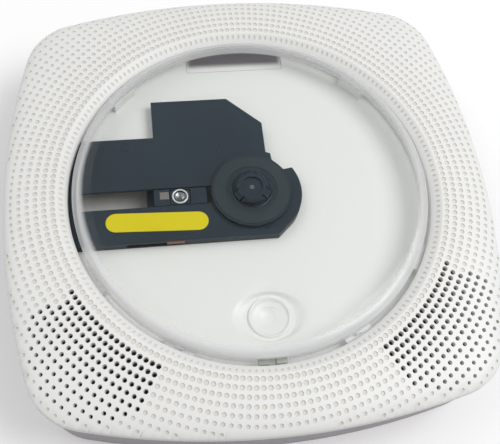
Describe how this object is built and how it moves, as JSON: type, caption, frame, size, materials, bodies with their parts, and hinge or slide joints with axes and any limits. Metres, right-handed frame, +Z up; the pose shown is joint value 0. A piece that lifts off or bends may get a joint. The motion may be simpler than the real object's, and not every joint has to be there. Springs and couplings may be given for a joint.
{
  "type": "wall mounted cd player",
  "caption": "Rounded square wall player with a crowned dimpled front, a clear lift-off disc cover, an open disc deck with a sliding pickup, and rear speakers",
  "frame": {"origin": "centre of the wall bracket's back face, on the wall", "axes": "+X to the viewer's right, +Z up the wall, +Y into the wall; the front faces -Y"},
  "size_m": [0.2, 0.045, 0.2],
  "materials": {
    "shell_white": "smooth off-white moulding",
    "well_white": "smooth off-white moulding",
    "clear_plastic": "clear moulded plastic",
    "black_plastic": "fine black grain",
    "dark_window": "dark tinted window",
    "yellow_film": "bare printed film",
    "rubber": "matt",
    "steel": "plain",
    "polished_steel": "ground and polished",
    "gear_plastic": "natural moulded",
    "lens_glass": "coated lens",
    "amber_film": "flex film",
    "board_green": "circuit board",
    "paper": "pressed paper",
    "ferrite": "ferrite",
    "digit_block": "digit block"
  },
  "bodies": {
    "shell": {"front_housing": "shell_white", "disc_well": "well_white", "rear_housing": "shell_white", "wall_bracket": "steel", "wall_pads": "rubber", "case_screws": "steel", "display_window": "dark_window", "display_module": "digit_block", "deck_cover": "black_plastic", "deck_cover_screws": "steel", "deck_frame": "steel", "deck_screws": "steel", "deck_dampers": "rubber", "guide_rods": "polished_steel", "gear_post": "polished_steel", "spindle_motor": "steel", "sled_motor": "steel", "handling_label": "yellow_film", "flex_cable": "amber_film", "main_board": "board_green", "board_parts": "black_plastic", "board_screws": "steel", "dc_jack": "black_plastic", "aux_jack": "black_plastic", "usb_port": "steel", "power_switch_body": "black_plastic", "button_board": "board_green", "tact_switches": "black_plastic", "lid_sensor": "black_plastic", "speaker_frames": "black_plastic", "speaker_cones": "paper", "speaker_magnets": "ferrite"},
    "cover": {"dust_cover": "clear_plastic"},
    "platter": {"turntable": "black_plastic", "turntable_mat": "rubber", "spindle_shaft": "polished_steel"},
    "sled": {"pickup_carriage": "black_plastic", "pickup_head": "black_plastic", "pickup_rack": "gear_plastic"},
    "lens": {"lens_holder": "black_plastic", "pickup_lens": "lens_glass"},
    "gear": {"drive_gear": "gear_plastic"},
    "pinion": {"motor_pinion": "gear_plastic"},
    "switch": {"power_switch_knob": "black_plastic"},
    "mode": {"mode_button": "shell_white"},
    "previous": {"previous_button": "shell_white"},
    "next": {"next_button": "shell_white"},
    "play": {"play_button": "shell_white"},
    "volume_down": {"volume_down_button": "shell_white"},
    "volume_up": {"volume_up_button": "shell_white"}
  },
  "joints": [
    {"name": "cover_lift", "type": "slide", "parent": "shell", "child": "cover", "axis": [0, -1, 0], "range_m": [0, 0.06]},
    {"name": "platter_spin", "type": "hinge", "parent": "shell", "child": "platter", "pos_m": [0, -0.039, 0], "axis": [0, -1, 0], "continuous": true},
    {"name": "sled_travel", "type": "slide", "parent": "shell", "child": "sled", "axis": [1, 0, 0], "range_m": [-0.0287, 0.0063]},
    {"name": "lens_focus", "type": "slide", "parent": "sled", "child": "lens", "axis": [0, -1, 0], "range_m": [-0.0005, 0.0005], "stiffness_N_per_m": 30},
    {"name": "gear_spin", "type": "hinge", "parent": "shell", "child": "gear", "pos_m": [-0.0218, -0.0333, 0.0278], "axis": [0, 1, 0], "range_deg": [-80, 350]},
    {"name": "pinion_spin", "type": "hinge", "parent": "shell", "child": "pinion", "pos_m": [-0.00705, -0.0333, 0.03812], "axis": [0, 1, 0], "range_deg": [-1400, 310]},
    {"name": "switch_slide", "type": "slide", "parent": "shell", "child": "switch", "axis": [0, 0, 1], "range_m": [0, 0.003]},
    {"name": "mode_press", "type": "slide", "parent": "shell", "child": "mode", "axis": [0, 0, -1], "range_m": [0, 0.0008], "stiffness_N_per_m": 300, "springref_m": -0.0005},
    {"name": "previous_press", "type": "slide", "parent": "shell", "child": "previous", "axis": [0, 0, -1], "range_m": [0, 0.0008], "stiffness_N_per_m": 300, "springref_m": -0.0005},
    {"name": "next_press", "type": "slide", "parent": "shell", "child": "next", "axis": [0, 0, -1], "range_m": [0, 0.0008], "stiffness_N_per_m": 300, "springref_m": -0.0005},
    {"name": "play_press", "type": "slide", "parent": "shell", "child": "play", "axis": [0, 0, -1], "range_m": [0, 0.0008], "stiffness_N_per_m": 300, "springref_m": -0.0005},
    {"name": "volume_down_press", "type": "slide", "parent": "shell", "child": "volume_down", "axis": [0, 0, -1], "range_m": [0, 0.0008], "stiffness_N_per_m": 300, "springref_m": -0.0005},
    {"name": "volume_up_press", "type": "slide", "parent": "shell", "child": "volume_up", "axis": [0, 0, -1], "range_m": [0, 0.0008], "stiffness_N_per_m": 300, "springref_m": -0.0005}
  ],
  "couplings": [
    {"joint": "gear_spin", "follows": "sled_travel", "rad_per_m": -208.33},
    {"joint": "pinion_spin", "follows": "sled_travel", "rad_per_m": 833.33}
  ]
}
